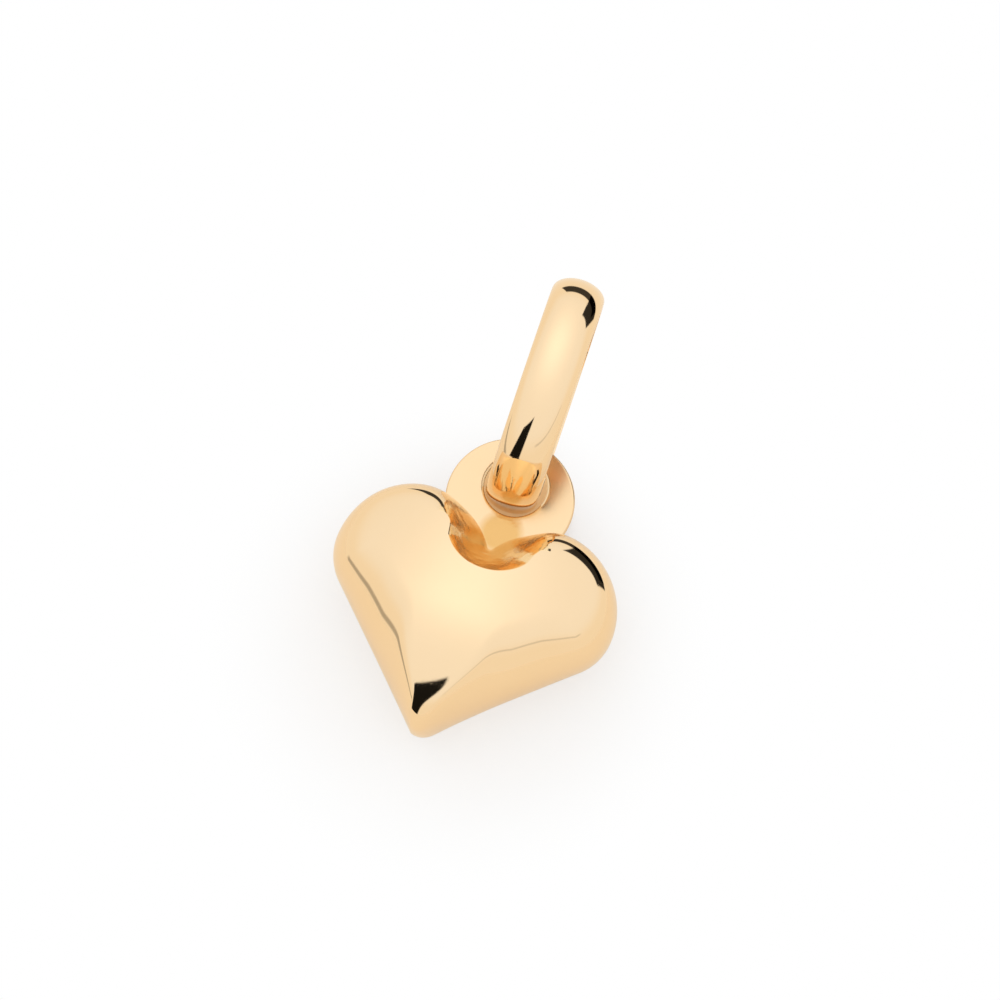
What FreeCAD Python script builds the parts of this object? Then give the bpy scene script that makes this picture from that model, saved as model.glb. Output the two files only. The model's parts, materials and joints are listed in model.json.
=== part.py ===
"""A puffed gold heart pendant with a soldered eyelet and a loose oval bail.

Millimetres. The heart lies on its flat back on the XY plane, face up. Its tip points to -Y and its
cleft to +Y, and X runs from lobe to lobe. The origin is the middle of the back.
"""
import FreeCAD
import Part
import math
import os
import Sketcher
from FreeCAD import Placement, Rotation, Vector

doc = FreeCAD.newDocument("HeartPendant")

# Driving dimensions, in millimetres and degrees.
SIZES = {
    "heart_width": 10.0,        # over both lobes
    "heart_height": 8.18,       # tip to the tops of the lobes
    "cleft_depth": 1.2185,      # tops of the lobes down to the bottom of the cleft, at the girth
    "shoulder_radius": 1.9,     # where a lobe turns into its straight side
    "tip_radius": 0.5,          # point of the heart at its girth
    "tip_flare": 0.9,           # how much blunter the point gets for each millimetre inwards
    "cleft_radius": 0.08,       # bottom of the cleft
    "rim_roll": 1.65,           # half width of the ellipse that the wall rolls in on
    "rim_turn": 70.0,           # how far the wall has turned from upright where the face begins
    "back_turn": 84.0,          # the same where the flat back begins
    "front_height": 2.3,        # girth to the end of the front's roll
    "crown_rise": 0.68,         # further rise to the top of the face
    "crown_place": 4.4,         # tip to the top of the face, along the heart
    "back_depth": 2.27,         # girth to the flat back
    "eyelet_thickness": 0.24,
    "eyelet_edge": 0.05,        # bevel on the plate's edges
    "eyelet_seat": 0.34,        # how deep the eyelet is let in past the cleft
    "free_land": 0.55,          # metal outside the hole at the free edge
    "root_land": 1.57,          # metal outside the hole on the heart's side
    "hole_play": 0.44,          # hole's diameter over the width of the band that runs through it
    "bail_length": 8.6,
    "bail_depth": 6.7,
    "bail_end_radius": 2.17,
    "bail_width": 1.86,
    "bail_thickness": 0.62,
    "bail_edge": 0.24,          # height of the band's straight edges
    "bail_softening": 0.07,     # bevel on the band's inner edges
    "bail_gap": 0.3,            # band to the heart side of the hole
    "bail_angle": 38.7,         # rise of the bail's length above the eyelet
    "bail_twist": 6.8,          # turn of the bail about its own length
    "bail_swivel": 1.0,         # turn of the bail's length towards the right lobe
}
SEAM = 1e-5     # how closely the heart's faces meet along their seams
SAME = 1e-6     # how closely two radii agree that are meant to be equal

sheet = doc.addObject("Spreadsheet::Sheet", "Sizes")
for row, (alias, value) in enumerate(SIZES.items(), start=1):
    sheet.set("A%d" % row, alias)
    sheet.set("B%d" % row, str(value))
    sheet.setAlias("B%d" % row, alias)
doc.recompute()


def size(alias):
    """Value of one cell of the sheet."""
    return float(sheet.get(alias))


def way(turn):
    """Unit vector in the XY plane at an angle from +X."""
    return Vector(math.cos(turn), math.sin(turn), 0)


# Places that follow from the sizes. The girth is the heart's widest level, and the eyelet's middle plane.
girth_z = size("back_depth")
face_z = girth_z + size("front_height")
tip_y = -size("heart_height") / 2
# The lobes' arcs are as large as the width allows that also lets them touch the cleft's arc.
lobe_radius = (size("heart_width") / 2 + size("cleft_depth")
               - math.sqrt(size("cleft_depth") * (size("heart_width") + 2 * size("cleft_radius"))))
lobe_y = tip_y + size("heart_height") - lobe_radius
lobe_x = size("heart_width") / 2 - lobe_radius
shoulder_x = size("heart_width") / 2 - size("shoulder_radius")
cleft_bottom_y = tip_y + size("heart_height") - size("cleft_depth")
cleft_y = cleft_bottom_y + size("cleft_radius")
tip = Vector(0, tip_y + size("tip_radius"), 0)
shoulder = Vector(shoulder_x, lobe_y, 0)
lobe = Vector(lobe_x, lobe_y, 0)
cleft = Vector(0, cleft_y, 0)
crown_top = Vector(0, tip_y + size("crown_place"), face_z + size("crown_rise"))

# Angles. The straight side is tangent to the tip's and the shoulder's arcs, side_turn away from +Y.
tip_to_shoulder = shoulder - tip
side_turn = (math.atan2(tip_to_shoulder.x, tip_to_shoulder.y)
             + math.asin((size("shoulder_radius") - size("tip_radius")) / tip_to_shoulder.Length))
lobe_turn = math.atan2(cleft.y - lobe.y, cleft.x - lobe.x)
rim_end = math.radians(size("rim_turn"))
back_end = math.radians(size("back_turn"))


def line_strip(first, first_move, last, last_move):
    """Straight strip of the outline, as (control point, outward move, weight) three times."""
    return [(first, first_move, 1.0),
            ((first + last) / 2, (first_move + last_move) / 2, 1.0),
            (last, last_move, 1.0)]


def arc_strip(centre, radius, first, last, hollow=False):
    """Strip of the outline on an arc from one angle to another; a hollow one has its metal outside."""
    middle = (first + last) / 2
    weight = math.cos((last - first) / 2)
    ways = [(way(first), 1.0), (way(middle) / weight, weight), (way(last), 1.0)]
    return [(centre + out * radius, out * (-1 if hollow else 1), share) for out, share in ways]


def mirrored(strip):
    """The same strip on the left half, in the same turning sense."""
    return [(Vector(-point.x, point.y, 0), Vector(-move.x, move.y, 0), weight)
            for point, move, weight in reversed(strip)]


def outline():
    """Strips of the heart's outline at the girth, anticlockwise from the right side to the tip.

    Inwards by an inset, each control point goes to point - inset * move. So the lobes' and shoulders'
    arcs keep their centres, sides stay parallel and the cleft opens round its own centre. The tip's
    arc grows by the flare and slides up the heart's axis, tangent to both sides, so that the point
    gets blunter and leans back as the wall rises.
    """
    out = way(-side_turn)
    flare = size("tip_flare")
    slide = Vector(0, -(1 + flare) / math.sin(side_turn), 0)
    low = tip + out * size("tip_radius")
    right = [
        line_strip(low, slide - out * flare, shoulder + out * size("shoulder_radius"), out),
        arc_strip(shoulder, size("shoulder_radius"), -side_turn, 0),
        arc_strip(lobe, lobe_radius, 0, lobe_turn / 2),
        arc_strip(lobe, lobe_radius, lobe_turn / 2, lobe_turn),
        arc_strip(cleft, size("cleft_radius"), lobe_turn - math.pi, -math.pi / 2, hollow=True),
    ]
    point = [(place, slide - (place - tip) * (flare / size("tip_radius")), weight)
             for place, _, weight in arc_strip(tip, size("tip_radius"), side_turn - math.pi, -side_turn)]
    return right + [mirrored(strip) for strip in reversed(right)] + [point]


def roll_inset(turn):
    """How far inside the girth the wall's ellipse is, once it has turned that far from upright."""
    return size("rim_roll") * (1 - math.cos(turn))


def roll_span(end, height):
    """The wall's profile on its ellipse, as (inset, height, weight) three times.

    The ellipse is upright at the girth. The profile runs from there to the end turn, which is the
    given height above the girth, or below it for the back. The middle control point is where the
    tangents of both ends meet.
    """
    corner = height * math.tan(end / 2) / math.sin(end)
    return [(0, girth_z, 1.0), (0, girth_z + corner, math.cos(end / 2)), (roll_inset(end), girth_z + height, 1.0)]


def patch(poles, weights):
    """Face of a surface that is a conic both ways, from three rows of three control points."""
    surface = Part.BSplineSurface()
    surface.buildFromPolesMultsKnots(poles, [3, 3], [3, 3], [0, 1], [0, 1], False, False, 2, 2, weights)
    return surface.toShape()


def wall_face(strip, span):
    """One strip of the outline carried along the wall's profile."""
    poles = [[point - move * inset + Vector(0, 0, height) for inset, height, _ in span]
             for point, move, _ in strip]
    return patch(poles, [[weight * share for _, _, share in span] for _, _, weight in strip])


def crown_face(strip):
    """One strip of the face, from the end of the roll to the top, level where it gets there."""
    poles = []
    for point, move, _ in strip:
        rim = point - move * roll_inset(rim_end)
        half_way = (rim + crown_top) / 2
        poles.append([rim + Vector(0, 0, face_z), Vector(half_way.x, half_way.y, crown_top.z), crown_top])
    return patch(poles, [[weight] * 3 for _, _, weight in strip])


def back_edge(strip):
    """Edge of the flat back along one strip of the outline."""
    curve = Part.BSplineCurve()
    curve.buildFromPolesMultsKnots([point - move * roll_inset(back_end) for point, move, _ in strip],
                                   [3, 3], [0, 1], False, 2, [weight for _, _, weight in strip])
    return curve.toShape()


def heart_form():
    """Solid of the puffed heart: the rolled wall, the crowned face and the flat back."""
    strips = outline()
    faces = [wall_face(strip, roll_span(end, height)) for strip in strips
             for end, height in ((rim_end, size("front_height")), (back_end, -size("back_depth")))]
    faces += [crown_face(strip) for strip in strips]
    faces.append(Part.Face(Part.Wire([back_edge(strip) for strip in strips])))
    shell = Part.makeShell(faces)
    shell.sewShape(SEAM)
    solid = Part.makeSolid(shell)
    if solid.Volume < 0:
        solid.reverse()
    return solid


heart = doc.addObject("Part::Feature", "Heart")
heart.Label = "heart"
heart.Shape = heart_form()
heart.Placement = Placement()


def origin_plane(body, role):
    """One of a body's own origin planes."""
    return next(feature for feature in body.Origin.OriginFeatures if feature.Role == role)


def new_sketch(body, name, role):
    """Sketch on one of the body's origin planes."""
    sketch = body.newObject("Sketcher::SketchObject", name)
    sketch.AttachmentSupport = [(origin_plane(body, role), "")]
    sketch.MapMode = "FlatFace"
    return sketch


def bind(sketch, kind, args, expression):
    """Adds a driving constraint whose value is an expression on the sheet."""
    index = sketch.addConstraint(Sketcher.Constraint(kind, *args))
    sketch.setExpression("Constraints[%d]" % index, expression)


# Eyelet: a round plate with its hole towards the free edge, let into the cleft at the girth.
hole_radius = (size("bail_width") + size("hole_play")) / 2
eyelet_radius = hole_radius + (size("free_land") + size("root_land")) / 2
eyelet_y = cleft_bottom_y - size("eyelet_seat") + eyelet_radius
hole_y = (size("root_land") - size("free_land")) / 2
HOLE_DIAMETER = "Sizes.bail_width + Sizes.hole_play"

plate = doc.addObject("PartDesign::Body", "EyeletPlate")
plate.Label = "eyelet_plate"
plate_sketch = new_sketch(plate, "PlateOutline", "XY_Plane")
plate_sketch.addGeometry(Part.Circle(Vector(0, 0, 0), Vector(0, 0, 1), eyelet_radius))
plate_sketch.addConstraint(Sketcher.Constraint("Coincident", 0, 3, -1, 1))
bind(plate_sketch, "Diameter", (0, 2 * eyelet_radius),
     HOLE_DIAMETER + " + Sizes.free_land + Sizes.root_land")
plate_sketch.addGeometry(Part.Circle(Vector(0, hole_y, 0), Vector(0, 0, 1), hole_radius))
plate_sketch.addConstraint(Sketcher.Constraint("PointOnObject", 1, 3, -2))
bind(plate_sketch, "Diameter", (1, 2 * hole_radius), HOLE_DIAMETER)
bind(plate_sketch, "DistanceY", (-1, 1, 1, 3, hole_y), "(Sizes.root_land - Sizes.free_land) / 2")
plate_pad = plate.newObject("PartDesign::Pad", "PlateThickness")
plate_pad.Profile = plate_sketch
plate_pad.Midplane = True
plate_pad.setExpression("Length", "Sizes.eyelet_thickness")
doc.recompute()
plate_bevel = plate.newObject("PartDesign::Chamfer", "PlateEdges")
plate_bevel.Base = (plate_pad, ["Edge%d" % (i + 1) for i, edge in enumerate(plate_pad.Shape.Edges)
                                if isinstance(edge.Curve, Part.Circle)])
plate_bevel.setExpression("Size", "Sizes.eyelet_edge")
plate.Placement = Placement(Vector(0, eyelet_y, girth_z), Rotation())

eyelet = doc.addObject("Part::Cut", "Eyelet")
eyelet.Label = "eyelet"
eyelet.Base = plate
eyelet.Tool = heart

# Bail: an oval of four arcs, swept with a D-shaped band that is domed outside and flat inside.
# In its own frame the hinge is the origin, the length runs along Y and the oval lies in the YZ plane.
end_radius = size("bail_end_radius")
half_length = size("bail_length") / 2
half_depth = size("bail_depth") / 2
end_reach = half_length - end_radius
flank_radius = (end_reach ** 2 + half_depth ** 2 - end_radius ** 2) / (2 * (half_depth - end_radius))
FLANK = ("((Sizes.bail_length / 2 - Sizes.bail_end_radius) ^ 2 + (Sizes.bail_depth / 2) ^ 2"
         " - Sizes.bail_end_radius ^ 2) / (Sizes.bail_depth - 2 * Sizes.bail_end_radius)")
flank_lift = flank_radius - half_depth
flank_angle = math.atan2(flank_lift, end_reach)

loop = doc.addObject("PartDesign::Body", "Bail")
loop.Label = "bail"
path = new_sketch(loop, "OvalPath", "YZ_Plane")
zenith = Vector(0, 0, 1)
hinge_end = Part.Circle(Vector(0, 0, 0), zenith, end_radius)
far_end = Part.Circle(Vector(2 * end_reach, 0, 0), zenith, end_radius)
low_flank = Part.Circle(Vector(end_reach, flank_lift, 0), zenith, flank_radius)
high_flank = Part.Circle(Vector(end_reach, -flank_lift, 0), zenith, flank_radius)
path.addGeometry([
    Part.ArcOfCircle(hinge_end, math.pi, math.pi + flank_angle),
    Part.ArcOfCircle(low_flank, math.pi + flank_angle, 2 * math.pi - flank_angle),
    Part.ArcOfCircle(far_end, -flank_angle, flank_angle),
    Part.ArcOfCircle(high_flank, flank_angle, math.pi - flank_angle),
    Part.ArcOfCircle(hinge_end, math.pi - flank_angle, math.pi),
], False)
path.addConstraint(Sketcher.Constraint("Coincident", 0, 3, -1, 1))
path.addConstraint(Sketcher.Constraint("Coincident", 4, 3, -1, 1))
path.addConstraint(Sketcher.Constraint("PointOnObject", 0, 1, -1))
path.addConstraint(Sketcher.Constraint("Coincident", 4, 2, 0, 1))
for first, second in ((0, 1), (1, 2), (2, 3), (3, 4)):
    path.addConstraint(Sketcher.Constraint("Tangent", first, 2, second, 1))
path.addConstraint(Sketcher.Constraint("PointOnObject", 2, 3, -1))
path.addConstraint(Sketcher.Constraint("Equal", 1, 3))
bind(path, "Radius", (0, end_radius), "Sizes.bail_end_radius")
bind(path, "Radius", (2, end_radius), "Sizes.bail_end_radius")
bind(path, "Radius", (1, flank_radius), FLANK)
bind(path, "DistanceX", (-1, 1, 2, 3, 2 * end_reach), "Sizes.bail_length - 2 * Sizes.bail_end_radius")

band = new_sketch(loop, "BandSection", "XY_Plane")
half_width = size("bail_width") / 2
inner_y = -end_radius + size("bail_thickness")
edge_y = inner_y - size("bail_edge")
inner = [Vector(-half_width, inner_y, 0), Vector(half_width, inner_y, 0)]
outer = [Vector(-half_width, edge_y, 0), Vector(half_width, edge_y, 0)]
dome = Part.Arc(outer[0], Vector(0, -end_radius, 0), outer[1])
band.addGeometry([
    Part.LineSegment(inner[1], inner[0]),
    Part.LineSegment(inner[0], outer[0]),
    dome,
    Part.LineSegment(outer[1], inner[1]),
], False)
for first, second in ((0, 1), (1, 2), (2, 3), (3, 0)):
    band.addConstraint(Sketcher.Constraint("Coincident", first, 2, second, 1))
band.addConstraint(Sketcher.Constraint("Vertical", 1))
band.addConstraint(Sketcher.Constraint("Symmetric", 0, 1, 0, 2, -2))
band.addConstraint(Sketcher.Constraint("Symmetric", 2, 1, 2, 2, -2))
bind(band, "DistanceX", (0, 2, 0, 1, 2 * half_width), "Sizes.bail_width")
bind(band, "DistanceY", (0, 1, -1, 1, -inner_y), "Sizes.bail_end_radius - Sizes.bail_thickness")
bind(band, "DistanceY", (1, 2, 1, 1, inner_y - edge_y), "Sizes.bail_edge")
dome_rise = size("bail_thickness") - size("bail_edge")
bind(band, "Radius", (2, (dome_rise ** 2 + half_width ** 2) / (2 * dome_rise)),
     "((Sizes.bail_thickness - Sizes.bail_edge) ^ 2 + (Sizes.bail_width / 2) ^ 2)"
     " / (2 * (Sizes.bail_thickness - Sizes.bail_edge))")
doc.recompute()
sweep = loop.newObject("PartDesign::AdditivePipe", "BandSweep")
sweep.Profile = band
sweep.Spine = (path, ["Edge%d" % (i + 1) for i in range(path.GeometryCount)])
doc.recompute()


def is_inner_edge(edge):
    """True for the long edges between the band's flat inside and its sides."""
    inner_radii = (end_radius - size("bail_thickness"), flank_radius - size("bail_thickness"))
    return isinstance(edge.Curve, Part.Circle) and any(
        abs(edge.Curve.Radius - radius) < SAME for radius in inner_radii)


soft = loop.newObject("PartDesign::Chamfer", "BandSoftening")
soft.Base = (sweep, ["Edge%d" % (i + 1) for i, edge in enumerate(sweep.Shape.Edges) if is_inner_edge(edge)])
soft.setExpression("Size", "Sizes.bail_softening")

# The bail leans and turns a little in its loose hole. Its hinge is the line that its end arc is centred
# on, square to the oval's plane, set so that the band crosses the eyelet in the middle of the hole.
swivel = Rotation(Vector(0, 0, 1), -size("bail_swivel"))
rise = Rotation(Vector(1, 0, 0), size("bail_angle"))
lean = swivel.multiply(rise).multiply(Rotation(Vector(0, 1, 0), size("bail_twist")))
hinge_axis = lean.multVec(Vector(1, 0, 0))
towards_heart = hinge_axis.cross(Vector(0, 0, 1)).normalize()
crossing = Vector(0, eyelet_y + hole_y - hole_radius + size("bail_gap"), girth_z)
hinge = crossing - towards_heart * end_radius
loop.Placement = Placement(hinge, lean)
doc.recompute()

parts = (heart, eyelet, loop)
for item in doc.Objects:
    if "Invalid" in item.State or "Error" in item.State:
        raise RuntimeError("%s is %s" % (item.Label, item.State))
for part in parts:
    if part.Shape.isNull() or not part.Shape.isValid():
        raise RuntimeError("%s has no valid shape" % part.Label)

os.makedirs("parts", exist_ok=True)
for part in parts:
    part.Shape.exportStep("parts/%s.step" % part.Label)
    print("%s: %.3f mm3" % (part.Label, part.Shape.Volume))
print("hinge at", hinge, "axis", hinge_axis)
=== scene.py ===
"""Looks of a polished gold heart pendant: the puffed heart, its soldered eyelet and its loose oval bail.

The frame gives the places: the heart's and the eyelet's boxes and the line of the bail's hinge. Each
piece is a surface worked out with numpy, in metres, in the frame's axes: X from lobe to lobe, Y from
the tip to the cleft and on to the bail, Z out of the face.
"""
import json
import logging
import math
from dataclasses import dataclass, field
from enum import Enum
from typing import Any

import bpy
import numpy as np
from mathutils import Matrix, Vector
from mathutils.geometry import delaunay_2d_cdt


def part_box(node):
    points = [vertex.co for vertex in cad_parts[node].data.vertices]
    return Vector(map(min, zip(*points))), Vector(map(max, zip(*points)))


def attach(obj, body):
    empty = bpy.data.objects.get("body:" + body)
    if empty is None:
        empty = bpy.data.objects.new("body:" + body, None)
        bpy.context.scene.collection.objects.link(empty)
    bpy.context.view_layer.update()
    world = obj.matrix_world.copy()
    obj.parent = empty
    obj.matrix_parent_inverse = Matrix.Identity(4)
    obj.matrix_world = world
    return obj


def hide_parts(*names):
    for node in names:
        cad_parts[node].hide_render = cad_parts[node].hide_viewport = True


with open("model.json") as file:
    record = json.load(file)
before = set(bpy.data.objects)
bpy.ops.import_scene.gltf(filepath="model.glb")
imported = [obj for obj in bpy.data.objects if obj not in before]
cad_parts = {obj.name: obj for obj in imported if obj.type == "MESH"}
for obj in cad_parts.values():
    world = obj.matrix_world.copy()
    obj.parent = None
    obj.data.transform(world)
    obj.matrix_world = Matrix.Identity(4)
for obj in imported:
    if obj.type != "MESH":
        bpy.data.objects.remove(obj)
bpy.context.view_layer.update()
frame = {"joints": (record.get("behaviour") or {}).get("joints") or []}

LOG = logging.getLogger("pendant")
MM = 0.001
SHARP = math.radians(20)
RECESS_AND_SEAM_SHADE_MARK = "recess"
WHITE = (1.0, 1.0, 1.0)


def turn_way(angle: float | np.ndarray) -> np.ndarray:
    """Unit vectors in a plane at angles from its first axis, as an array (..., 2)."""
    return np.stack([np.cos(angle), np.sin(angle)], axis=-1)


def arc_points(centre: np.ndarray, radius: np.ndarray, first: float, last: float, steps: int) -> np.ndarray:
    """Points on an arc, or on one arc for each row, leaving out the last one.

    Args:
        centre: The arc's centre, (2,) or (rows, 1, 2).
        radius: Its radius, a number or (rows, 1), or (rows, steps) if it changes along the arc.
        first: Angle of the first point.
        last: Angle that the points lead up to.
        steps: How many points.

    Returns:
        An array (steps, 2) or (rows, steps, 2): centre + radius * (cos, sin).
    """
    angles = np.linspace(first, last, steps, endpoint=False)
    return centre + np.asarray(radius)[..., None] * turn_way(angles)


def fade(distance: np.ndarray, none: float, full: float) -> np.ndarray:
    """Even change from 0 at the distance none, and beyond, to 1 at the distance full and nearer."""
    return np.clip((none - distance) / (none - full), 0, 1)


def smooth_mesh(name: str, points: np.ndarray, faces: list[tuple[int, ...]]) -> bpy.types.Object:
    """Makes an object that is smooth except where its surface bends more than SHARP.

    Args:
        name: The object's name.
        points: Its points, (count, 3).
        faces: The point numbers of each face, anticlockwise seen from outside.

    Returns:
        The object, which is linked to the scene.
    """
    mesh = bpy.data.meshes.new(name)
    mesh.from_pydata(points.tolist(), [], faces)
    mesh.polygons.foreach_set("use_smooth", np.ones(len(faces), dtype=bool))
    mesh.update()
    mesh.set_sharp_from_angle(angle=SHARP)
    made = bpy.data.objects.new(name, mesh)
    bpy.context.scene.collection.objects.link(made)
    return made


def mark_points(piece: bpy.types.Object, name: str, values: np.ndarray) -> None:
    """Keeps one number for each point of a piece's mesh, for its material."""
    piece.data.attributes.new(name, "FLOAT", "POINT").data.foreach_set("value", values.astype(np.float32))


def ring_faces(rows: int, around: int, closed_rows: bool = False) -> np.ndarray:
    """Four-cornered faces between the rows of a grid whose rows are closed rings.

    Args:
        rows: Number of rings.
        around: Points in each ring, anticlockwise seen from outside with the next ring above.
        closed_rows: True if the last ring joins the first, as on a torus.

    Returns:
        An array (faces, 4) of point numbers, row by row.
    """
    last = rows if closed_rows else rows - 1
    row, step = np.meshgrid(np.arange(last), np.arange(around), indexing="ij")
    above, onward = (row + 1) % rows, (step + 1) % around
    corners = [row * around + step, row * around + onward, above * around + onward, above * around + step]
    return np.stack(corners, axis=-1).reshape(-1, 4)


def fill_outline(edge: np.ndarray, spacing: float, weld: float = 1e-7) -> tuple[np.ndarray, np.ndarray]:
    """Triangles of a flat outline's inside, on the points of a square lattice.

    Args:
        edge: The outline, anticlockwise, (around, 2).
        spacing: Distance between the lattice's points. None lies nearer to the edge than half of it.
        weld: How near two points may lie and still be two, in millimetres.

    Returns:
        The points that are added, (count, 2), and the triangles, (count, 3), anticlockwise. These
        number the outline's points first and then the added ones.
    """
    edge, spacing, around = edge / MM, spacing / MM, len(edge)
    x, y = (np.arange(low, high, spacing) for low, high in zip(edge.min(axis=0), edge.max(axis=0)))
    lattice = np.stack(np.meshgrid(x, y), axis=-1).reshape(-1, 2)
    nearest = np.linalg.norm(lattice[:, None] - edge, axis=-1).min(axis=1)
    points = np.concatenate([edge, lattice[nearest > spacing / 2]])
    inside_only = 1
    _, _, made, sources, *_ = delaunay_2d_cdt(points.tolist(), [], [list(range(around))], inside_only, weld)
    triangles = np.array([first for first, *_ in sources])[np.array(made)]
    used = np.unique(np.concatenate([np.arange(around), triangles.ravel()]))
    return points[used[around:]] * MM, np.searchsorted(used, triangles)


class Value:
    """One number in a shader tree. Python's operators on it add Math nodes."""

    def __init__(self, shader: "Shader", socket: bpy.types.NodeSocket) -> None:
        """Keeps the tree and the socket that gives the number."""
        self.shader = shader
        self.socket = socket

    def math(self, operation: str, *others: "Value | float") -> "Value":
        """Adds a Math node.

        Args:
            operation: What it does.
            others: Its further numbers, after this one.

        Returns:
            Its result.
        """
        inputs = dict(enumerate([self, *others]))
        made = self.shader.node("ShaderNodeMath", {"operation": operation}, inputs)
        return Value(self.shader, made.outputs[0])

    def __add__(self, other: "Value | float") -> "Value":
        """Sum."""
        return self.math("ADD", other)

    __radd__ = __add__

    def __mul__(self, other: "Value | float") -> "Value":
        """Product."""
        return self.math("MULTIPLY", other)

    __rmul__ = __mul__

    def __neg__(self) -> "Value":
        """The number times minus one."""
        return self * -1.0

    def __sub__(self, other: "Value | float") -> "Value":
        """Difference."""
        return self.math("SUBTRACT", other)

    def __rsub__(self, other: float) -> "Value":
        """Difference from a plain number."""
        return -self + other

    def __pow__(self, other: "Value | float") -> "Value":
        """Power."""
        return self.math("POWER", other)

    def ease(self, low: float, high: float) -> "Value":
        """Smooth step between two levels, of which either may be the larger.

        Args:
            low: Where the result is 0.
            high: Where the result is 1.

        Returns:
            The step, which stays at 0 and at 1 outside the two levels.
        """
        made = self.shader.node(
            "ShaderNodeMapRange", {"interpolation_type": "SMOOTHSTEP"},
            {"Value": self, "From Min": low, "From Max": high})
        return Value(self.shader, made.outputs["Result"])


class Shader:
    """A node tree that is filled from Python."""

    def __init__(self, tree: bpy.types.NodeTree) -> None:
        """Empties the tree."""
        self.tree = tree
        tree.nodes.clear()

    def node(self, kind: str, settings: dict[str, Any] | None = None,
             inputs: dict[str | int, Any] | None = None) -> bpy.types.Node:
        """Adds a node.

        Args:
            kind: Its type's name.
            settings: Its attributes, which are set first.
            inputs: Values or links for its sockets, by name or number.

        Returns:
            The new node.
        """
        made = self.tree.nodes.new(kind)
        for name, value in (settings or {}).items():
            setattr(made, name, value)
        for name, value in (inputs or {}).items():
            if isinstance(value, Value):
                self.tree.links.new(value.socket, made.inputs[name])
            elif isinstance(value, bpy.types.NodeSocket):
                self.tree.links.new(value, made.inputs[name])
            else:
                made.inputs[name].default_value = value
        return made

    def value(self, kind: str, output: str, settings: dict[str, Any] | None = None,
              inputs: dict[str | int, Any] | None = None) -> Value:
        """Adds a node and gives one of its outputs as a number."""
        return Value(self, self.node(kind, settings, inputs).outputs[output])

    def mix(self, share: Value, first: Any, second: Any) -> bpy.types.NodeSocket:
        """Mixes two colours.

        Args:
            share: How much of the second one shows.
            first: A colour's socket, or its red, green and blue.
            second: The other colour, in the same form.

        Returns:
            The mixed colour's socket.
        """
        share_socket, first_socket, second_socket, result = 0, 6, 7, 2
        full = [(*colour, 1.0) if isinstance(colour, tuple) else colour for colour in (first, second)]
        made = self.node("ShaderNodeMix", {"data_type": "RGBA"}, {
            share_socket: share, first_socket: full[0], second_socket: full[1]})
        return made.outputs[result]

    def distance(self, place: bpy.types.NodeSocket, point: tuple[float, float, float]) -> Value:
        """Distance of a place from a fixed point."""
        return self.value("ShaderNodeVectorMath", "Value", {"operation": "DISTANCE"}, {0: place, 1: point})


def new_material(name: str) -> tuple[bpy.types.Material, Shader]:
    """Makes a node material.

    Args:
        name: Its name.

    Returns:
        The material, and the shader that fills it.
    """
    made = bpy.data.materials.new(name)
    made.use_nodes = True
    return made, Shader(made.node_tree)


class Polish(Enum):
    """How a piece was finished, as the roughness of its gold."""

    MIRROR = 0.035
    SATIN = 0.2


@dataclass(frozen=True)
class RecessAndSeamShade:
    """Gold that the polishing wheel did not reach: satin, a little uneven and deeper in colour. On the
    eyelet this colour is a much darker painted shade where the plate meets the heart.
    """

    colour: tuple[float, float, float] = (0.97, 0.73, 0.41)
    roughness: float = 0.11
    grain_size: float = 0.6 * MM
    grain_detail: float = 2.0
    grain_depth: float = 0.3
    grain_height: float = 0.12 * MM


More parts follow.
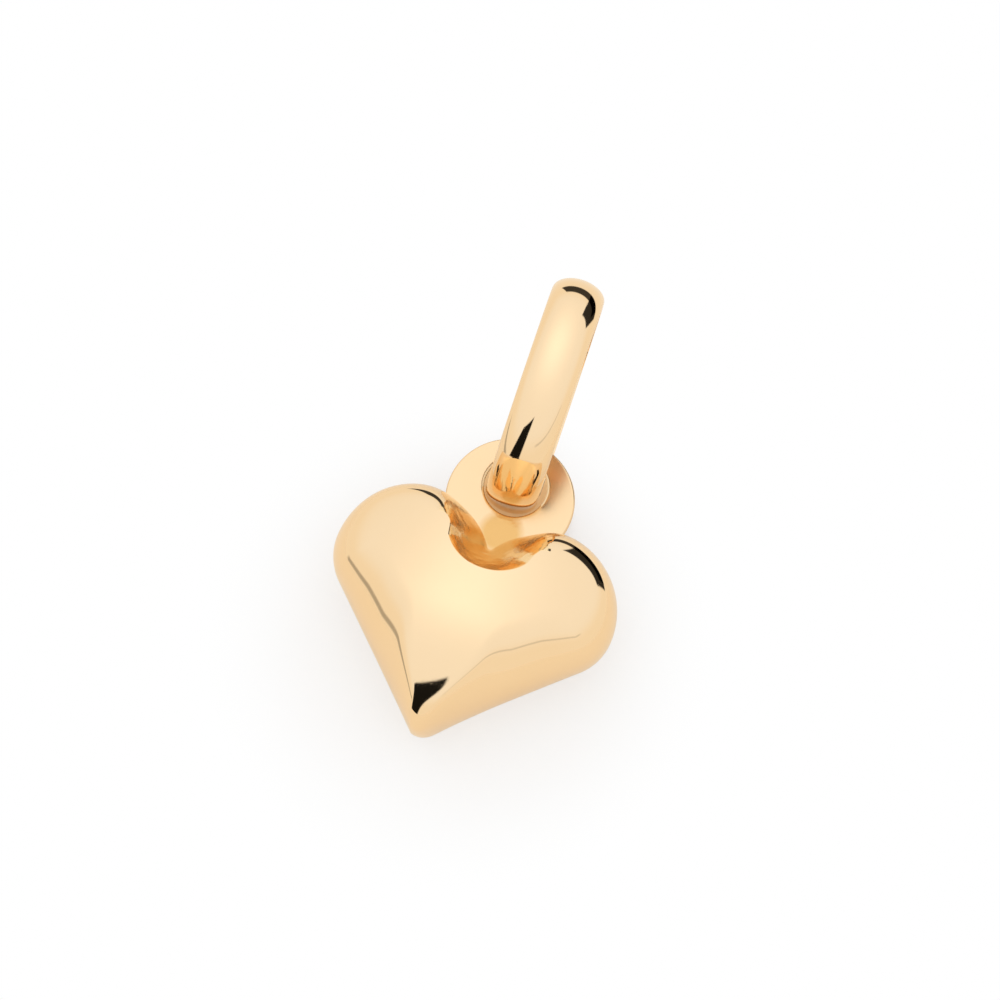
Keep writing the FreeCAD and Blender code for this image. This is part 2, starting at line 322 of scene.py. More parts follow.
@dataclass(frozen=True)
class Gold:
    """Polished yellow gold with faint hairlines, a little unevenness of colour and of polish."""

    name: str
    polish: Polish
    colour: tuple[float, float, float] = (0.955, 0.735, 0.475)
    deep_colour: tuple[float, float, float] = (0.935, 0.70, 0.43)
    patch_size: float = 3.0 * MM
    patch_detail: float = 3.0
    patch_roughness: float = 0.6
    hairline_size: float = 0.05 * MM
    hairline_detail: float = 2.0
    hairline_length: float = 30.0
    hairline_turn: tuple[float, float, float] = (0.3, 0.2, 0.7)
    hairline_levels: tuple[float, float] = (0.62, 0.74)
    hairline_depth: float = 0.015
    roughness_swing: float = 0.02
    recess: RecessAndSeamShade | None = None

    def material(self) -> bpy.types.Material:
        """Builds the node material. The recess, with the eyelet's painted shade at its seam, shows as far as
        the mesh carries its mark.

        Returns:
            The material.
        """
        made, shader = new_material(self.name)
        place = shader.node("ShaderNodeTexCoord").outputs["Object"]
        clouds = shader.value("ShaderNodeTexNoise", "Fac", {}, {
            "Vector": place, "Scale": 1 / self.patch_size,
            "Detail": self.patch_detail, "Roughness": self.patch_roughness})
        stretched = shader.node("ShaderNodeMapping", {}, {
            "Vector": place, "Rotation": self.hairline_turn, "Scale": (1.0, 1 / self.hairline_length, 1.0)})
        hairs = shader.value("ShaderNodeTexNoise", "Fac", {}, {
            "Vector": stretched.outputs[0], "Scale": 1 / self.hairline_size, "Detail": self.hairline_detail})
        scratched = hairs.ease(*self.hairline_levels)
        tint = shader.mix(clouds, self.colour, self.deep_colour)
        roughness = clouds * self.roughness_swing + scratched * self.roughness_swing + self.polish.value
        relief = shader.node("ShaderNodeBump", {}, {
            "Strength": self.hairline_depth, "Distance": self.hairline_size, "Height": -scratched})
        if self.recess:
            marked = shader.value("ShaderNodeAttribute", "Fac", {"attribute_name": RECESS_AND_SEAM_SHADE_MARK})
            # The recess colour: a deeper tint in the heart's cleft, and painted shade at the eyelet's seam.
            tint = shader.mix(marked, tint, self.recess.colour)
            grain = shader.value("ShaderNodeTexNoise", "Fac", {}, {
                "Vector": place, "Scale": 1 / self.recess.grain_size, "Detail": self.recess.grain_detail})
            roughness = roughness + marked * self.recess.roughness
            relief = shader.node("ShaderNodeBump", {}, {
                "Strength": self.recess.grain_depth, "Distance": self.recess.grain_height,
                "Height": grain * marked, "Normal": relief.outputs[0]})
        surface = shader.node("ShaderNodeBsdfPrincipled", {}, {
            "Base Color": tint, "Roughness": roughness, "Metallic": 1.0, "Normal": relief.outputs[0]})
        shader.node("ShaderNodeOutputMaterial", {}, {"Surface": surface.outputs[0]})
        return made


@dataclass(frozen=True)
class Wall:
    """Make of the wall at one place on the outline.

    The wall rolls in over its width. Its profile is (1 - (1 - s) ^ roll) ^ (1 / rise) of the height, s
    being the share of the width: a large roll gives a tight edge, a large rise an upright start.
    """

    place: float
    width: float
    roll: float
    rise: float


@dataclass
class HeartPiece:
    """The puffed heart: a rolled wall carried round a heart outline, and a domed face.

    The outline at the girth is made of tangent arcs and straight sides. Moved inwards, the lobes',
    shoulders' and cleft's arcs keep their centres. The tip's arc gets blunter and slides up the
    heart. It is tangent to the right side and meets the left one in a crease. The cleft leans aside
    more and more towards the face.
    """

    girth_height: float = 2.27 * MM
    cleft_depth: float = 1.2185 * MM
    shoulder_radius: float = 1.9 * MM
    tip_radius: float = 0.5 * MM
    tip_setback: float = 0.03 * MM
    cleft_radius: float = 0.08 * MM
    cleft_lean: tuple[float, float] = (0.32 * MM, 0.06 * MM)
    cleft_reach: float = 2.4 * MM
    recess_reach: tuple[float, float] = (2.1 * MM, 1.9 * MM)
    tip_flare: float = 0.75
    crease_turn: float = math.radians(-112)
    makes: tuple[Wall, ...] = (
        Wall(0.5 * MM, width=0.70 * MM, roll=5.0, rise=1.7),
        Wall(3.2 * MM, width=1.75 * MM, roll=2.1, rise=2.2),
        Wall(5.6 * MM, width=1.70 * MM, roll=2.2, rise=2.2),
        Wall(9.4 * MM, width=1.20 * MM, roll=6.0, rise=1.7),
        Wall(12.0 * MM, width=1.45 * MM, roll=3.6, rise=1.7),
        Wall(13.1 * MM, width=1.25 * MM, roll=1.05, rise=1.25),
        Wall(14.6 * MM, width=1.68 * MM, roll=1.05, rise=1.1),
    )
    make_blend: float = 1.1 * MM
    blend_samples: int = 15
    cleft_length: float = 0.7 * MM
    dome_place: float = 4.2 * MM
    face_spacing: float = 0.07 * MM
    flat_spacing: float = 0.5 * MM
    dome_across: float = 0.07
    dome_to_tip: float = 0.12
    dome_to_cleft: float = 0.04
    dome_change: float = 1.2
    steps: dict[str, int] = field(default_factory=lambda: {
        "tip": 44, "side": 64, "shoulder": 30, "lobe": 70, "cleft": 26, "front": 72, "back": 36})
    gold: Gold = Gold("mirror_gold_heart", Polish.MIRROR, recess=RecessAndSeamShade())

    def __post_init__(self) -> None:
        """Reads the box of the heart and works out the arcs' centres and the side's angle.

        The lobe's arc touches the box's side and top and the cleft's arc. Its radius for this is half
        the width + depth - root of (depth * (width + 2 * cleft radius)).
        """
        low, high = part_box("heart")
        self.half_width = (high.x - low.x) / 2
        self.tip_y, self.top_y, self.top_z = low.y + self.tip_setback, high.y, high.z
        width, depth = 2 * self.half_width, self.cleft_depth
        self.lobe_radius = width / 2 + depth - math.sqrt(depth * (width + 2 * self.cleft_radius))
        self.lobe = np.array([self.half_width - self.lobe_radius, self.top_y - self.lobe_radius])
        self.shoulder = np.array([self.half_width - self.shoulder_radius, self.lobe[1]])
        self.cleft = np.array([0.0, self.top_y - depth + self.cleft_radius])
        rise = self.shoulder[1] - (self.tip_y + self.tip_radius)
        lean = math.asin((self.shoulder_radius - self.tip_radius) / math.hypot(self.shoulder[0], rise))
        self.side_turn = math.atan2(self.shoulder[0], rise) + lean
        self.lobe_turn = math.atan2(self.cleft[1] - self.lobe[1], self.cleft[0] - self.lobe[0])
        self.dome_top = np.array([0.0, self.tip_y + self.dome_place])

    def walls(self) -> dict[str, np.ndarray]:
        """Width, roll and rise of the wall along the right half.

        Between the places of two makes they change evenly over the girth's length. The mean over a
        short stretch of it, make_blend long, takes the corners off that change.

        Returns:
            An array (3, steps) for each strip, by the strip's name.
        """
        side_length = math.hypot(*(self.shoulder - (0, self.tip_y + self.tip_radius)))
        lengths = {
            "tip": self.tip_radius * (-self.side_turn - self.crease_turn),
            "side": math.sqrt(side_length ** 2 - (self.shoulder_radius - self.tip_radius) ** 2),
            "shoulder": self.shoulder_radius * self.side_turn,
            "lobe": self.lobe_radius * self.lobe_turn,
            "cleft": self.cleft_length,
        }
        places = np.array([make.place for make in self.makes])
        values = np.array([[make.width, make.roll, make.rise] for make in self.makes])
        stretch = np.linspace(-0.5, 0.5, self.blend_samples) * self.make_blend
        walls, start = {}, 0.0
        for name, length in lengths.items():
            along = start + length * np.linspace(0, 1, self.steps[name], endpoint=False)
            near = along[:, None] + stretch
            walls[name] = np.stack([np.interp(near, places, kind).mean(axis=1) for kind in values.T])
            start += length
        walls["bottom"] = values[-1:].T
        return walls

    def tip_arc(self, inset: np.ndarray) -> tuple[np.ndarray, np.ndarray]:
        """Finds the tip's arc inside the girth.

        The radius grows by tip_flare for each unit of inset. The centre solves two conditions: the
        arc is tangent to the right side, and its point at the crease lies on the left side, both
        sides being moved in by the inset.

        Args:
            inset: How far each outline lies inside the girth, (rows,).

        Returns:
            The centres, (rows, 2), and the radii, (rows,).
        """
        apex = np.array([0.0, self.tip_y + self.tip_radius - self.tip_radius / math.sin(self.side_turn)])
        right = turn_way(-self.side_turn)
        left = right * np.array([-1, 1])
        radius = self.tip_radius + self.tip_flare * inset
        away = np.stack([-(inset + radius), -inset - radius * (left @ turn_way(self.crease_turn))])
        return np.linalg.solve(np.stack([right, left]), away).T + apex, radius

    def outline(self, share: np.ndarray) -> np.ndarray:
        """Closed heart outlines, anticlockwise from the crease.

        Args:
            share: How much of the wall's width each outline lies inside the girth, (rows,).

        Returns:
            Points (rows, around, 2): centre + (radius - inset) * (cos, sin) on the arcs, with
            radius + inset at the cleft, and straight sides that give way by the wall's own width.
            All are moved by cleft_lean * share ^ 2 / e ^ ((distance from the cleft / cleft_reach) ^ 4).
        """
        walls = self.walls()
        share = share[:, None]
        out = turn_way(-self.side_turn)
        mirror = np.array([-1, 1])
        low_width, high_width = walls["side"][0, 0], walls["shoulder"][0, 0]
        centre, radius = self.tip_arc((share * low_width)[:, 0])
        along = np.linspace(0, 1, self.steps["side"], endpoint=False)
        high = self.shoulder + out * (self.shoulder_radius - share * high_width)
        give = share * (walls["side"][0] - low_width * (1 - along) - high_width * along)
        right_low = centre + out * radius[:, None]
        left_low = centre + turn_way(self.crease_turn) * radius[:, None]
        right_side, left_side = (
            low[:, None] * (1 - along[:, None]) + top[:, None] * along[:, None] - way * give[..., None]
            for low, top, way in ((right_low, high, out), (left_low, high * mirror, out * mirror)))
        shoulder = self.shoulder_radius - share * walls["shoulder"][0]
        lobe = self.lobe_radius - share * walls["lobe"][0]
        cleft = self.cleft_radius + share * walls["cleft"][0]
        strips = [
            arc_points(self.shoulder, shoulder, -self.side_turn, 0, self.steps["shoulder"]),
            arc_points(self.lobe, lobe, 0, self.lobe_turn, self.steps["lobe"]),
            arc_points(self.cleft, cleft, self.lobe_turn - math.pi, -math.pi / 2, self.steps["cleft"]),
        ]
        tip = arc_points(
            centre[:, None], radius[:, None], self.crease_turn, -self.side_turn, self.steps["tip"])
        bottom = self.cleft - np.array([0, 1.0]) * (self.cleft_radius + share * walls["bottom"][0])
        left = np.concatenate([left_side, *(strip * mirror for strip in strips)], axis=1)[:, :0:-1]
        points = np.concatenate([tip, right_side, *strips, bottom[:, None], left], axis=1)
        away = np.linalg.norm(points - self.cleft, axis=-1, keepdims=True)
        lean = share[..., None] ** 2 * np.exp(-(away / self.cleft_reach) ** 4)
        return points + np.array(self.cleft_lean) * lean

    def powers(self) -> np.ndarray:
        """Roll and rise of the wall round the whole outline.

        Returns:
            An array (2, around), in the order of the outline's points.
        """
        walls = self.walls()
        right = np.concatenate([walls[name][1:] for name in ("side", "shoulder", "lobe", "cleft")], axis=1)
        return np.concatenate([walls["tip"][1:], right, walls["bottom"][1:], right[:, :0:-1]], axis=1)

    def face_height(self, points: np.ndarray) -> np.ndarray:
        """Height of the domed face over the girth.

        From the dome's top it falls by dome_across * x ^ 2 + fall * y ^ 2, all in millimetres. The
        fall changes from dome_to_cleft to dome_to_tip by the hyperbolic tangent of y / dome_change.

        Args:
            points: Places on it, (..., 2).

        Returns:
            The heights, (...).
        """
        x, y = np.moveaxis(points - self.dome_top, -1, 0) / MM
        towards_tip = (1 - np.tanh(y / self.dome_change)) / 2
        fall = self.dome_to_cleft + (self.dome_to_tip - self.dome_to_cleft) * towards_tip
        return self.top_z - self.girth_height - (self.dome_across * x ** 2 + fall * y ** 2) * MM

    def rings(self) -> tuple[np.ndarray, np.ndarray]:
        """Rings of points round the wall.

        The back is a quarter ellipse: share 1 - sin and height girth * (1 - cos). The front rises by
        (1 - (1 - share) ^ roll) ^ (1 / rise) of the way from the girth to the domed face.

        Returns:
            The back's rings, from the flat to the girth, and the front's, from there to the face,
            (rows, around, 3) each.
        """
        turns = np.linspace(0, math.pi / 2, self.steps["back"])
        back = self.outline(1 - np.sin(turns))
        back_z = np.broadcast_to((self.girth_height * (1 - np.cos(turns)))[:, None], back.shape[:2])
        share = 1 - np.cos(np.linspace(0, math.pi / 2, self.steps["front"])[1:])
        front = self.outline(share)
        roll, rise = self.powers()
        profile = (1 - (1 - share[:, None]) ** roll) ** (1 / rise)
        front_z = self.girth_height + profile * self.face_height(front)
        return (np.concatenate([back, back_z[..., None]], axis=-1),
                np.concatenate([front, front_z[..., None]], axis=-1))

    def build(self) -> bpy.types.Object:
        """Makes the heart's mesh: the rings of the wall, closed by the flat back and the domed face.

        Returns:
            The finished piece.
        """
        rings = np.concatenate(self.rings())
        rows, around = rings.shape[:2]
        flat, flat_faces = fill_outline(rings[0, :, :2], self.flat_spacing)
        face, face_faces = fill_outline(rings[-1, :, :2], self.face_spacing)
        dome = self.girth_height + self.face_height(face)
        points = np.concatenate([
            rings.reshape(-1, 3), np.pad(flat, ((0, 0), (0, 1))),
            np.concatenate([face, dome[:, None]], axis=1)])
        first_ring, last_ring = np.arange(around), (rows - 1) * around + np.arange(around)
        flat_start, face_start = rows * around, rows * around + len(flat)
        flat_numbers = np.concatenate([first_ring, flat_start + np.arange(len(flat))])
        face_numbers = np.concatenate([last_ring, face_start + np.arange(len(face))])
        faces = [*map(tuple, ring_faces(rows, around).tolist()),
                 *map(tuple, flat_numbers[flat_faces[:, ::-1]].tolist()),
                 *map(tuple, face_numbers[face_faces].tolist())]
        made = smooth_mesh("gold_heart", points, faces)
        mark_points(made, RECESS_AND_SEAM_SHADE_MARK, np.pad(self.recess(rings), (0, len(flat) + len(face))))
        return finish_piece(made, self.gold, "heart", "heart")

    def recess(self, rings: np.ndarray) -> np.ndarray:
        """How much each point lies in the cleft's wall, where no wheel reaches.

        Args:
            rings: The points, (rows, around, 3).

        Returns:
            A number from 0 to 1 for each point, (rows * around,). It goes by how far the girth
            below the point is from the cleft.
        """
        girth_row = self.steps["back"] - 1
        near = np.linalg.norm(rings[girth_row, :, :2] - self.cleft, axis=-1)
        rows = np.arange(len(rings))
        in_wall = (rows >= girth_row) & (rows < len(rings) - 1)
        return (in_wall[:, None] * fade(near, *self.recess_reach)).ravel()


@dataclass
class EyeletPiece:
    """The eyelet: a thin round plate with an off-centre hole, seated in the cleft."""

    hole_setback: float = 1.70 * MM
    hole_radius: float = 1.07 * MM
    # Middle and reach of the painted shade at the seam, where the plate meets the heart.
    seam_offset: tuple[float, float] = (0.14 * MM, -1.25 * MM)
    seam_reach: tuple[float, float] = (0.85 * MM, 0.55 * MM)
    thickness: float = 0.24 * MM
    rim_round: float = 0.10 * MM
    edge_round: float = 0.06 * MM
    around: int = 240
    round_steps: int = 8
    land_steps: int = 16
    # Its recess colour is painted shade: a darker, more orange gold where the plate meets the heart.
    gold: Gold = Gold(
        "satin_gold_eyelet", Polish.SATIN, colour=(0.88, 0.66, 0.41), deep_colour=(0.85, 0.62, 0.37),
        recess=RecessAndSeamShade(colour=(0.74, 0.45, 0.17), roughness=0.0))

    def __post_init__(self) -> None:
        """Reads the free edge and the middle level from the eyelet's box."""
        low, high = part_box("eyelet")
        self.middle_z = (low.z + high.z) / 2
        self.radius = (high.x - low.x) / 2
        self.centre = np.array([0.0, high.y - self.radius])
        self.hole = np.array([0.0, high.y - self.hole_setback])

    def section(self) -> tuple[np.ndarray, np.ndarray, np.ndarray]:
        """Closed section of the plate.

        Each corner is a quarter ellipse as deep as half the plate's thickness. A point lies at
        hole edge * (1 - share) + outer edge * share, moved by the offset away from the hole's axis.

        Returns:
            The share, the offset and the height over the plate's middle of each point, (steps,) each.
        """
        quarter = np.linspace(0, math.pi / 2, self.round_steps)
        half = self.thickness / 2
        land = np.linspace(0, 1, self.land_steps)[1:-1]
        corner_in, corner_up = 1 - np.cos(quarter), np.sin(quarter)
        share = np.concatenate([0 * quarter, land, 0 * quarter + 1])
        offset = np.concatenate([
            self.rim_round * corner_in,
            self.rim_round * (1 - land) - self.edge_round * land,
            -self.edge_round * corner_in[::-1]])
        height = np.concatenate([half * corner_up, 0 * land + half, half * corner_up[::-1]])
        under = slice(-2, 0, -1)
        return (np.concatenate([share, share[under]]), np.concatenate([offset, offset[under]]),
                np.concatenate([height, -height[under]]))

    def build(self) -> bpy.types.Object:
        """Makes the plate as a ring of sections round the hole.

        Returns:
            The finished piece.
        """
        share, offset, height = self.section()
        ways = turn_way(np.linspace(0, 2 * math.pi, self.around, endpoint=False))
        inner = self.hole + self.hole_radius * ways
        outer = self.centre + self.radius * ways
        flat = (inner[None] * (1 - share)[:, None, None] + outer[None] * share[:, None, None]
                + ways[None] * offset[:, None, None])
        level = np.broadcast_to((self.middle_z + height)[:, None], flat.shape[:2])
        points = np.concatenate([flat, level[..., None]], axis=-1)
        faces = ring_faces(len(share), self.around, closed_rows=True)
        made = smooth_mesh("gold_eyelet", points.reshape(-1, 3), [*map(tuple, faces[:, ::-1].tolist())])
        # Painted shade: the mark darkens the plate towards the place where it meets the heart.
        to_seam = np.linalg.norm(flat - (self.centre + self.seam_offset), axis=-1)
        mark_points(made, RECESS_AND_SEAM_SHADE_MARK, fade(to_seam, *self.seam_reach).ravel())
        return finish_piece(made, self.gold, "heart", "eyelet")


@dataclass
class BailPiece:
    """The bail: a closed oval of four tangent arcs with a D-shaped section."""

    length: float = 8.6 * MM
    depth: float = 6.7 * MM
    end_radius: float = 2.17 * MM
    width: float = 1.86 * MM
    thickness: float = 0.62 * MM
    swivel: float = math.radians(1.0)
    skin: float = 0.014 * MM
    shoulder_level: float = 0.03 * MM
    dome_power: float = 2.0
    flat_power: float = 5.0
    end_steps: int = 90
    flank_steps: int = 110
    section_steps: int = 96
    gold: Gold = Gold("mirror_gold_bail", Polish.MIRROR)

    def path(self) -> tuple[np.ndarray, np.ndarray]:
        """Crown line of the band, round the oval from its far end.

        The ends are arcs of the end radius. The flanks are larger arcs tangent to both, with radius
        (reach ^ 2 + half depth ^ 2 - end radius ^ 2) / (2 * (half depth - end radius)).

        Returns:
            Its points and its outward directions, (steps, 2) each.
        """
        reach = self.length / 2 - self.end_radius
        half_depth = self.depth / 2
        flank = (reach ** 2 + half_depth ** 2 - self.end_radius ** 2) / (2 * (half_depth - self.end_radius))
        lift = flank - half_depth
        turn = math.atan2(lift, reach)
        strips = [
            ((2 * reach, 0.0), self.end_radius, -turn, turn, self.end_steps),
            ((reach, -lift), flank, turn, math.pi - turn, self.flank_steps),
            ((0.0, 0.0), self.end_radius, math.pi - turn, math.pi + turn, self.end_steps),
            ((reach, lift), flank, math.pi + turn, 2 * math.pi - turn, self.flank_steps),
        ]
        points = np.concatenate([arc_points(np.array(centre), *arc) for centre, *arc in strips])
        ways = np.concatenate([arc_points(np.zeros(2), 1.0, *arc) for _, _, *arc in strips])
        return points - ways * self.skin, ways

    def section(self) -> tuple[np.ndarray, np.ndarray]:
        """Closed D-section of the band.

        The dome and the inner face are two halves of superellipses, (cos, sin) ^ (2 / power), that
        meet at the band's sides.

        Returns:
            Width from its middle and depth under the crown, (steps,) each.
        """
        angles = np.linspace(0, 2 * math.pi, self.section_steps, endpoint=False)
        cosine, sine = np.cos(angles), np.sin(angles)
        power = np.where(sine >= 0, self.dome_power, self.flat_power)
        across = (self.width / 2 - self.skin) * np.sign(cosine) * np.abs(cosine) ** (2 / power)
        dome = self.thickness - self.shoulder_level - 2 * self.skin
        up = np.where(sine >= 0, dome, self.shoulder_level) * np.sign(sine) * np.abs(sine) ** (2 / power)
        return across, dome - up

    def build(self) -> bpy.types.Object:
        """Carries the section round the oval, in the plane square to the hinge.

        A point is hinge + axis * across + lengthwise * x + upright * y of the oval's plane.

        Returns:
            The finished piece.
        """
        joint = frame["joints"][0]
        hinge = np.array(joint["pos_m"])
        axis = np.array(joint["axis"]) / np.linalg.norm(joint["axis"])
        lengthwise = np.cross([math.cos(self.swivel), -math.sin(self.swivel), 0.0], axis)
        lengthwise /= np.linalg.norm(lengthwise)
        upright = np.cross(axis, lengthwise)
        path, ways = self.path()
        across, sunk = self.section()
        flat = path[:, None] - ways[:, None] * sunk[None, :, None]
        points = hinge + axis * across[None, :, None] + flat[..., :1] * lengthwise + flat[..., 1:] * upright
        faces = ring_faces(len(path), self.section_steps, closed_rows=True)
        made = smooth_mesh("gold_bail", points.reshape(-1, 3), [*map(tuple, faces.tolist())])
        return finish_piece(made, self.gold, "bail", "bail")


def finish_piece(piece: bpy.types.Object, gold: Gold, body: str, node: str) -> bpy.types.Object:
    """Gives a piece its gold and puts it in the place of its node.

    Args:
        piece: The object.
        gold: Its finish.
        body: The body that it rides on.
        node: The node that it stands for.

    Returns:
        The same object.
    """
    piece.data.materials.append(gold.material())
    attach(piece, body)
    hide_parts(node)
    return piece


@dataclass(frozen=True)
class Flag:
    """A dark card that stands round the table, as polished gold shows it. Angles in degrees.

    It covers the azimuths from right - width to right on the horizon, and the elevations from low
    to top. Its sides shift by their slants for each degree up. Its top falls by top_slant for each
    degree from the right side. Its sides fade out over fade, its foot and top over soft.
    """

    right: float
    width: float
    low: float
    top: float
    soft: float
    darkness: float
    fade: float = 2.0
    right_slant: float = 0.0
    left_slant: float = 0.0
    top_slant: float = 0.0


@dataclass
class Studio:
    """White table under a bright tent, with dark cards near the horizon."""

    view_azimuth: float = 21.2
    view_elevation: float = 71.0
    distance: float = 0.3
    pixels_per_mm: float = 29.4
    picture_pixels: float = 1000.0
    sensor: float = 36.0
    clip_start: float = 0.01
    mark_pixel: tuple[float, float] = (510.0, 500.5)
    floor_radius: float = 16.0 * MM
    floor_around: int = 96
    shadow_reach: tuple[float, float] = (5.0 * MM, 9.0 * MM)
    covered: tuple[float, float] = (1.6 * MM, 2.4 * MM)
    floor_gap: float = 0.045 * MM
    floor_colour: tuple[float, float, float] = (0.95, 0.95, 0.95)
    # Painted bounce light and shade: the warmer colour that the gold sees on the table.
    gold_bounce_floor: tuple[float, float, float] = (0.94, 0.85, 0.71)
    # Painted gold light: the warm pool on the table behind the eyelet, in its colour and glow, and the reach
    # of its fade.
    gold_lit_floor: tuple[float, float, float] = (0.95, 0.63, 0.32)
    gold_lit: tuple[float, float] = (1.5 * MM, 2.1 * MM)
    floor_glow: float = 0.6
    shade_glow: float = 0.45
    gloss_glow: float = 0.15
    tent_low: float = 0.96
    tent_high: float = 1.02
    low_colour: tuple[float, float, float] = (1.0, 0.94, 0.84)
    white_above: float = 0.45
    glow_way: tuple[float, float, float] = (-0.10, 0.25, 0.96)
    glow_power: float = 7.0
    glow_strength: float = 0.22
    flags: tuple[Flag, ...] = (
        Flag(-96, 20, low=-16, top=35, soft=2, darkness=0.99,
             right_slant=0.15, left_slant=0.3, top_slant=0.7),
        Flag(72, 32, low=-9, top=37, soft=2.5, darkness=0.97, right_slant=-0.35, top_slant=0.6),
        Flag(117, 72, low=-10, top=6, soft=2.5, darkness=0.95, right_slant=-0.5),
        Flag(-18, 45, low=11.0, top=12.0, soft=1.6, darkness=0.25, fade=8),
        Flag(-134, 26, low=-14, top=-11, soft=3, darkness=0.5, fade=8),
    )

    def camera(self, mark: np.ndarray) -> None:
        """Looks at the pendant from the photograph's side.

        Args:
            mark: The point that shows at mark_pixel.
        """
        azimuth, elevation = math.radians(self.view_azimuth), math.radians(self.view_elevation)
        right = np.array([math.cos(azimuth), math.sin(azimuth), 0.0])
        back = np.array([math.sin(azimuth) * math.cos(elevation),
                         -math.cos(azimuth) * math.cos(elevation), math.sin(elevation)])
        up = np.cross(back, right)
        pixel = MM / self.pixels_per_mm
        middle = self.picture_pixels / 2
        aim = (mark + right * (middle - self.mark_pixel[0]) * pixel
               + up * (self.mark_pixel[1] - middle) * pixel)
        lens = bpy.data.cameras.new("photo_camera")
        lens.sensor_width = self.sensor
        lens.lens = self.sensor * self.distance / (self.picture_pixels * pixel)
        lens.clip_start = self.clip_start
        camera = bpy.data.objects.new("photo_camera", lens)
        turned = Matrix(np.stack([right, up, back], axis=1).tolist()).to_4x4()
        camera.matrix_world = Matrix.Translation(Vector(aim + back * self.distance)) @ turned
        bpy.context.scene.collection.objects.link(camera)
        bpy.context.scene.camera = camera

    def floor(self, mark: np.ndarray) -> None:
        """Lays the round white table, which the camera and the gold see nearly shadeless.

        It glows fully far off and less near the object, where the light that falls on it shows its
        shadow. Where the gold mirrors it, its colour is warmer: painted bounce light and shade from the
        gold. The part of it that shows behind the mark is lit by the gold as a painted pool of warm light,
        in its colour and in its glow.

        Args:
            mark: The point over the place where the table is covered and has its full shadow.
        """
        ring = turn_way(np.linspace(0, 2 * math.pi, self.floor_around, endpoint=False)) * self.floor_radius
        points = np.concatenate([ring, np.full((self.floor_around, 1), -self.floor_gap)], axis=-1)
        table = smooth_mesh("table", points, [tuple(range(self.floor_around))])
        paint, shader = new_material("white_table")
        seen, mirrored = self.seen_rays(shader)
        place = shader.node("ShaderNodeTexCoord").outputs["Object"]
        from_mark = shader.distance(place, (mark[0], mark[1], 0.0))
        behind = mark[2] / math.tan(math.radians(self.view_elevation))
        azimuth = math.radians(self.view_azimuth)
        from_seen = shader.distance(place, (
            mark[0] - behind * math.sin(azimuth), mark[1] + behind * math.cos(azimuth), 0.0))
        # Painted gold light: near the spot seen behind the mark, the table's colour and its glow turn gold.
        plain = from_seen.ease(*self.gold_lit)
        # Painted bounce light and shade: in reflections the table takes its warmer colour.
        colour = shader.mix(mirrored, self.floor_colour, self.gold_bounce_floor)
        lit = shader.node("ShaderNodeBsdfDiffuse", {}, {
            "Color": shader.mix(plain, self.gold_lit_floor, colour)})
        glow = shader.node("ShaderNodeEmission", {}, {
            "Color": shader.mix(plain, self.gold_lit_floor, WHITE), "Strength": 1.0})
        away = shader.distance(place, (0.0, 0.0, 0.0))
        glowing = away.ease(*self.shadow_reach) * (1 - self.floor_glow) + self.floor_glow
        shaded = from_mark.ease(*self.covered) * (1 - self.shade_glow) + self.shade_glow
        mixed = shader.node("ShaderNodeMixShader", {}, {
            0: glowing * shaded * seen + mirrored * self.gloss_glow, 1: lit.outputs[0], 2: glow.outputs[0]})
        shader.node("ShaderNodeOutputMaterial", {}, {"Surface": mixed.outputs[0]})
        table.data.materials.append(paint)

    def seen_rays(self, shader: Shader) -> tuple[Value, Value]:
        """Tells the rays that see the table from those that only light it.

        Args:
            shader: The table's shader.

        Returns:
            1 for the camera's rays, and 1 for rays of gloss or through glass, and 0 for others.
        """
        path = shader.node("ShaderNodeLightPath")
        camera, gloss, through = (Value(shader, path.outputs[name])
                                  for name in ("Is Camera Ray", "Is Glossy Ray", "Is Transmission Ray"))
        return camera, gloss.math("MAXIMUM", through)

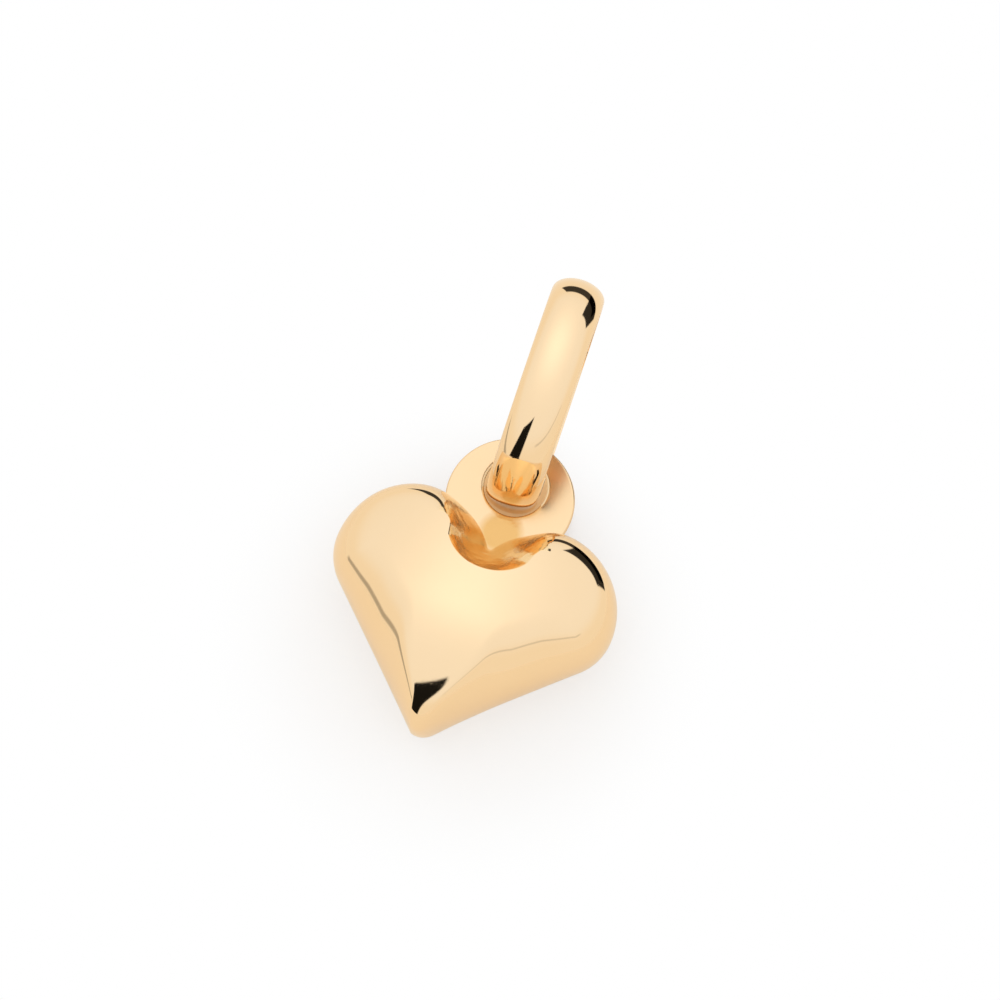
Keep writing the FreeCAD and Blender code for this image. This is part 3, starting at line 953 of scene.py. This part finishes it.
    def tent(self) -> None:
        """Lights the scene with a tent that the camera sees as plain white.

        Its light is tent_low + (tent_high - tent_low) * height + glow_strength * (cosine of the angle
        from glow_way) ^ glow_power, times 1 - darkness on each card.
        """
        world = bpy.data.worlds.new("tent")
        bpy.context.scene.world = world
        world.use_nodes = True
        shader = Shader(world.node_tree)
        way = shader.node("ShaderNodeTexCoord").outputs["Generated"]
        split = shader.node("ShaderNodeSeparateXYZ", {}, {0: way})
        x, y, z = (Value(shader, socket) for socket in split.outputs)
        elevation = z.math("ARCSINE") * math.degrees(1)
        azimuth = y.math("ARCTAN2", x) * math.degrees(1)
        towards = np.array(self.glow_way) / np.linalg.norm(self.glow_way)
        facing = (x * towards[0] + y * towards[1] + z * towards[2]).math("MAXIMUM", 0.0)
        light = z.math("MAXIMUM", 0.0) * (self.tent_high - self.tent_low) + self.tent_low
        light = light + facing ** self.glow_power * self.glow_strength
        for flag in self.flags:
            past = (azimuth - (flag.right - 180)).math("FLOORED_MODULO", 360.0) - 180
            right = (past - elevation * flag.right_slant).ease(flag.fade, 0.0)
            left = (past - elevation * flag.left_slant).ease(-flag.width - flag.fade, -flag.width)
            level = (elevation.ease(flag.low - flag.soft, flag.low)
                     * (elevation - past * flag.top_slant).ease(flag.top + flag.soft, flag.top))
            light = light * (1 - right * left * level * flag.darkness)
        white = shader.value("ShaderNodeLightPath", "Is Camera Ray")
        tinted = z.ease(self.white_above, 0.0) * (1 - white)
        lamp = shader.node("ShaderNodeBackground", {}, {
            "Color": shader.mix(tinted, WHITE, self.low_colour), "Strength": light * (1 - white) + white})
        shader.node("ShaderNodeOutputWorld", {}, {"Surface": lamp.outputs[0]})

    def build(self, mark: np.ndarray) -> None:
        """Sets up the camera, the table and the tent, and plain colour management.

        Args:
            mark: The middle of the eyelet, which the camera and the table's shadow go by.
        """
        self.camera(mark)
        self.floor(mark)
        self.tent()
        bpy.context.scene.view_settings.view_transform = "Standard"


def main() -> None:
    """Builds the pendant's pieces in order, then the studio round them."""
    logging.basicConfig(level=logging.INFO, format="%(name)s: %(message)s")
    eyelet = EyeletPiece()
    for piece in (HeartPiece(), eyelet, BailPiece()):
        made = piece.build()
        LOG.info("%s: %d faces", made.name, len(made.data.polygons))
    Studio().build(np.array([*eyelet.centre, eyelet.middle_z]))


if __name__ == "__main__":
    main()
